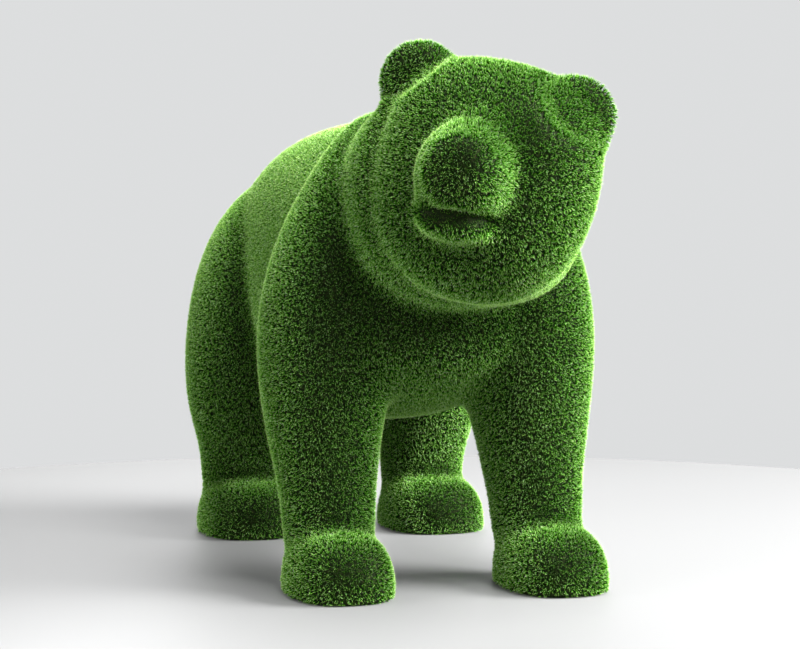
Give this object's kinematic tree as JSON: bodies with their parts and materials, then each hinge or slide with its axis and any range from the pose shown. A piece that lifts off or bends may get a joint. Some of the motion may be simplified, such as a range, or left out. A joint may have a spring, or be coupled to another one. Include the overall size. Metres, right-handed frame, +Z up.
{
  "type": "topiary bear statue",
  "caption": "Life-size standing bear figure covered in green artificial turf, head turned and tilted to its right, for display on a level floor.",
  "frame": {"origin": "on the floor under the middle of the bear's bounding box", "axes": "+Z up; the bear faces -Y; +X is the bear's left"},
  "size_m": [0.9918, 2.2416, 1.4999],
  "materials": {
    "turf": "matt green artificial turf, dense short pile"
  },
  "bodies": {
    "root": {"bear": "turf"}
  },
  "joints": []
}
